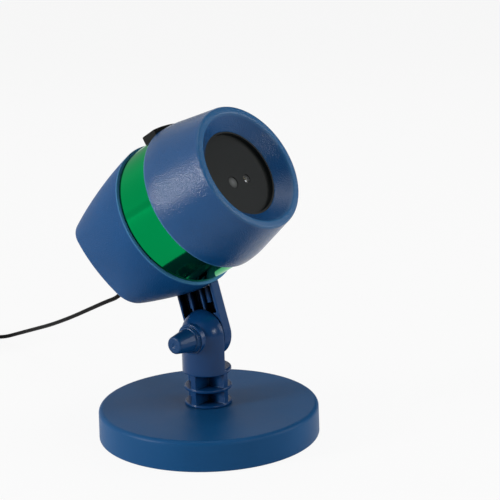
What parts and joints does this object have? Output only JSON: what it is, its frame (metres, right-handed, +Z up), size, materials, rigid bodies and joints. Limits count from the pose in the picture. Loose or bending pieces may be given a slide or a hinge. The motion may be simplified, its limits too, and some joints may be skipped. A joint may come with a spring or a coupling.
{
  "type": "laser show projector",
  "caption": "Round-footed laser projector: a tilting barrel head on a lapped post with a clamp knob throws laser patterns through small grating windows; push button on top, thin supply cord.",
  "frame": {"origin": "centre of the round foot, on the floor under its rubber feet", "axes": "+Z up, the head faces -Y and upwards, the clamp knob is on the -X side"},
  "size_m": [0.15, 0.4007, 0.2256],
  "materials": {
    "blue_moulding": "fine moulded grain, satin",
    "green_band": "polished",
    "black_plastic": "satin moulded",
    "button_grey": "satin moulded",
    "soft_black": "matt",
    "cord_jacket": "smooth satin",
    "ballast_iron": "rough cast",
    "screw_steel": "zinc plated",
    "washer_fibre": "dull",
    "frosted_window": "frosted",
    "clear_window": "fine ruled",
    "holder_aluminium": "machined",
    "module_brass": "turned",
    "lead_jacket": "smooth",
    "board_green": "lacquered",
    "board_black": "satin"
  },
  "bodies": {
    "base": {"base_shell": "blue_moulding", "base_plate": "black_plastic", "rubber_feet": "soft_black", "base_weight": "ballast_iron", "base_screws": "screw_steel", "post_screw": "screw_steel", "post": "blue_moulding", "friction_washer": "washer_fibre", "power_cord": "cord_jacket", "cord_coil": "cord_jacket", "coil_tie": "soft_black", "adapter_relief": "soft_black", "adapter_body": "black_plastic", "adapter_pins": "module_brass"},
    "head": {"arm": "blue_moulding", "rear_shell": "blue_moulding", "front_shell": "blue_moulding", "band": "green_band", "front_plate": "black_plastic", "button_housing": "black_plastic", "cable_gland": "soft_black", "cord_tail": "cord_jacket", "front_seal": "soft_black", "rear_seal": "soft_black", "arm_screws": "screw_steel", "shell_screws": "screw_steel", "plate_screws": "screw_steel", "holder_screws": "screw_steel", "board_screws": "screw_steel", "clamp_nut": "screw_steel", "button_spring": "screw_steel", "left_grating": "frosted_window", "right_grating": "clear_window", "module_holder": "holder_aluminium", "left_laser_module": "module_brass", "right_laser_module": "module_brass", "laser_leads": "lead_jacket", "main_board": "board_green", "board_parts": "board_black", "button_switch": "board_black"},
    "clamp": {"clamp_knob": "blue_moulding", "clamp_stud": "screw_steel"},
    "button": {"button_cap": "button_grey"}
  },
  "joints": [
    {"name": "head_tilt", "type": "hinge", "parent": "base", "child": "head", "pos_m": [0, 0, 0.0707], "axis": [-1, 0, 0], "range_deg": [-50, 45], "deforming": ["power_cord"]},
    {"name": "knob_turn", "type": "hinge", "parent": "base", "child": "clamp", "pos_m": [0, 0, 0.0707], "axis": [-1, 0, 0], "range_deg": [0, 360]},
    {"name": "button_press", "type": "slide", "parent": "head", "child": "button", "axis": [0, -0.532, -0.8468], "range_m": [0, 0.0012], "stiffness_N_per_m": 900, "springref_m": -0.0012, "deforming": ["button_spring"]}
  ]
}
